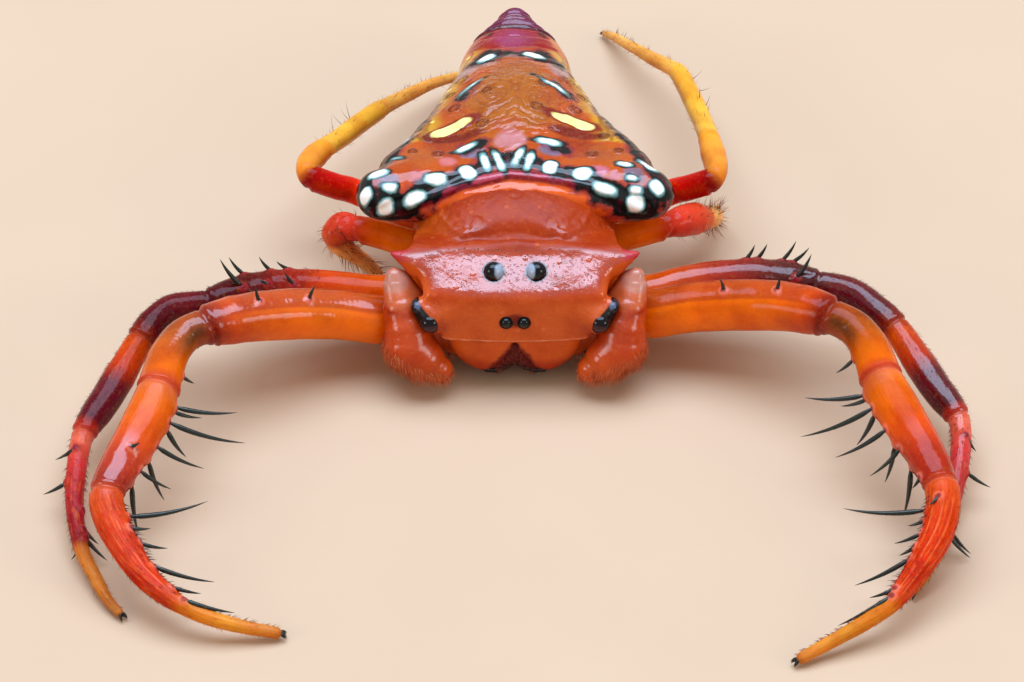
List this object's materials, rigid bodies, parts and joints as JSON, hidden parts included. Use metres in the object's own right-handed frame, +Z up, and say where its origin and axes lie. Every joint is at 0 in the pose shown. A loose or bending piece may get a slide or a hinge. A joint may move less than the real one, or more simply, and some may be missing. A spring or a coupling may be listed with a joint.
{
  "type": "triangular spider",
  "caption": "Life-size museum-style model of a triangular ambush spider, crouched with its spiny front legs spread in a wide arc.",
  "frame": {"origin": "on the floor, under the middle of the box round the whole animal", "axes": "+X towards the spider's own left, +Y from the head towards the tail, +Z up from the floor"},
  "size_m": [0.0144, 0.0151, 0.0025],
  "materials": {
    "carapace": "glossy orange-red cuticle with fine pale granules, redder along the front ridge and shoulder points",
    "abdomen": "glossy amber-brown skin with a black band of raised white spots round the front and sides",
    "spinnerets": "ringed purple-red cuticle",
    "jaw": "glossy orange cuticle, dark and hairy along the fang groove",
    "palp": "translucent orange cuticle with a pale knee and a fringe of fine hairs",
    "eye": "black, wet-looking lens",
    "leg_front": "glossy clear-orange cuticle, redder towards the foot, with black-green spines",
    "leg_second": "glossy cuticle, orange at the body and dark purple-red beyond, with black spines",
    "leg_third": "orange cuticle with yellow-orange hairs towards the foot",
    "leg_fourth": "crimson thigh, then translucent amber-yellow cuticle with thin bristles"
  },
  "bodies": {
    "root": {"abdomen": "abdomen", "cephalothorax": "carapace", "chelicera_left": "jaw", "chelicera_right": "jaw", "eye_front_middle_left": "eye", "eye_front_middle_right": "eye", "eye_front_side_left": "eye", "eye_front_side_right": "eye", "eye_rear_middle_left": "eye", "eye_rear_middle_right": "eye", "eye_rear_side_left": "eye", "eye_rear_side_right": "eye", "leg_1_left_femur": "leg_front", "leg_1_left_tarsus": "leg_front", "leg_1_left_tibia": "leg_front", "leg_1_right_femur": "leg_front", "leg_1_right_tarsus": "leg_front", "leg_1_right_tibia": "leg_front", "leg_2_left_femur": "leg_second", "leg_2_left_tarsus": "leg_second", "leg_2_left_tibia": "leg_second", "leg_2_right_femur": "leg_second", "leg_2_right_tarsus": "leg_second", "leg_2_right_tibia": "leg_second", "leg_3_left_femur": "leg_third", "leg_3_left_tibia": "leg_third", "leg_3_right_femur": "leg_third", "leg_3_right_tibia": "leg_third", "leg_4_left_femur": "leg_fourth", "leg_4_left_tarsus": "leg_fourth", "leg_4_left_tibia": "leg_fourth", "leg_4_right_femur": "leg_fourth", "leg_4_right_tarsus": "leg_fourth", "leg_4_right_tibia": "leg_fourth", "palp_left": "palp", "palp_right": "palp", "spinnerets": "spinnerets"}
  },
  "joints": []
}
